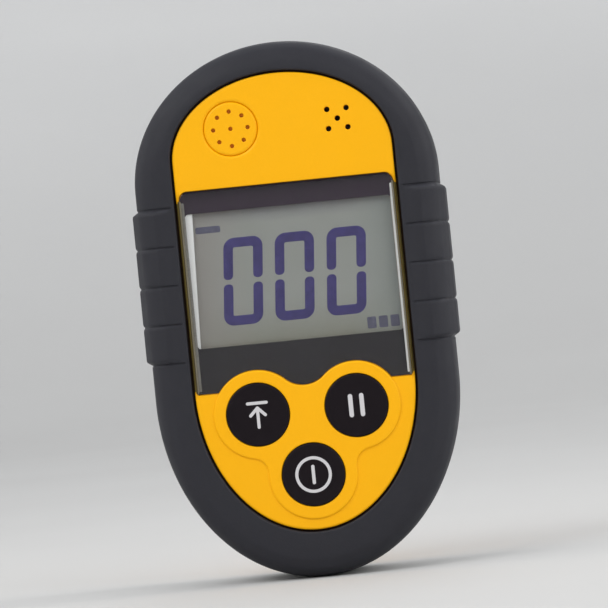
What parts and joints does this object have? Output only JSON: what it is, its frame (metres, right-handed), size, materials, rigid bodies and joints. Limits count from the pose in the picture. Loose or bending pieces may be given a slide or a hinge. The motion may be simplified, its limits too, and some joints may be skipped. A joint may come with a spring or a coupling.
{
  "type": "portable gas detector",
  "caption": "Hand-held carbon monoxide meter: oval yellow case in a grey rubber boot, large LCD, round keys, sensor grille and sounder holes.",
  "frame": {"origin": "centre of the meter's bounding box", "axes": "+Z along the length towards the sensor end, -Y out of the display towards the user, +Y out of the back, +X to the right of the display as the user sees it"},
  "size_m": [0.0704, 0.031, 0.12],
  "materials": {
    "boot_rubber": "matte, fine texture",
    "yellow_shell": "satin moulded plastic",
    "clear_lens": "clear polished plastic",
    "lens_print": "printed film",
    "white_plastic": "matte",
    "soft_foam": "foam",
    "gold_contact": "polished",
    "circuit_board": "solder mask",
    "flex_film": "polyimide film",
    "black_plastic": "matte",
    "lcd_film": "anti-glare film",
    "lcd_glass": "clear",
    "silicone": "smooth",
    "steel": "zinc plated",
    "sleeve_blue": "sleeve",
    "button_black": "fine texture",
    "battery_case": "printed metal jacket",
    "lead_red": "insulation",
    "lead_black": "insulation",
    "brass": "turned"
  },
  "bodies": {
    "meter": {"rubber_boot": "boot_rubber", "front_shell": "yellow_shell", "rear_shell": "yellow_shell", "display_lens": "clear_lens", "lens_mask": "lens_print", "sensor_cap": "yellow_shell", "dust_filter": "white_plastic", "sensor_gasket": "soft_foam", "sensor_cell": "white_plastic", "sensor_pins": "gold_contact", "sensor_board": "circuit_board", "sensor_ribbon": "flex_film", "buzzer": "black_plastic", "buzzer_gasket": "soft_foam", "lcd_polarizer": "lcd_film", "lcd_glass": "lcd_glass", "lcd_reflector": "white_plastic", "lcd_frame": "white_plastic", "zebra_strips": "silicone", "main_pcb": "circuit_board", "pcb_screws": "steel", "microcontroller": "black_plastic", "crystal": "steel", "capacitors": "sleeve_blue", "trimmers": "sleeve_blue", "battery_socket": "white_plastic", "snap_domes": "steel", "keypad_mat": "silicone", "battery": "battery_case", "battery_terminals": "steel", "battery_snap": "black_plastic", "lead_red": "lead_red", "lead_black": "lead_black", "case_screws": "steel", "screw_inserts": "brass"},
    "max_button": {"button_max": "button_black"},
    "hold_button": {"button_hold": "button_black"},
    "power_button": {"button_power": "button_black"},
    "battery_door": {"battery_door": "yellow_shell", "door_foam": "soft_foam"}
  },
  "joints": [
    {"name": "press_max", "type": "slide", "parent": "meter", "child": "max_button", "axis": [0, 1, 0], "range_m": [0, 0.0009], "stiffness_N_per_m": 1500, "springref_m": -0.0002},
    {"name": "press_hold", "type": "slide", "parent": "meter", "child": "hold_button", "axis": [0, 1, 0], "range_m": [0, 0.0009], "stiffness_N_per_m": 1500, "springref_m": -0.0002},
    {"name": "press_power", "type": "slide", "parent": "meter", "child": "power_button", "axis": [0, 1, 0], "range_m": [0, 0.0009], "stiffness_N_per_m": 1500, "springref_m": -0.0002},
    {"name": "door_hinge", "type": "hinge", "parent": "meter", "child": "battery_door", "pos_m": [0, 0.0134, 0.005], "axis": [1, 0, 0], "range_deg": [0, 90]}
  ]
}
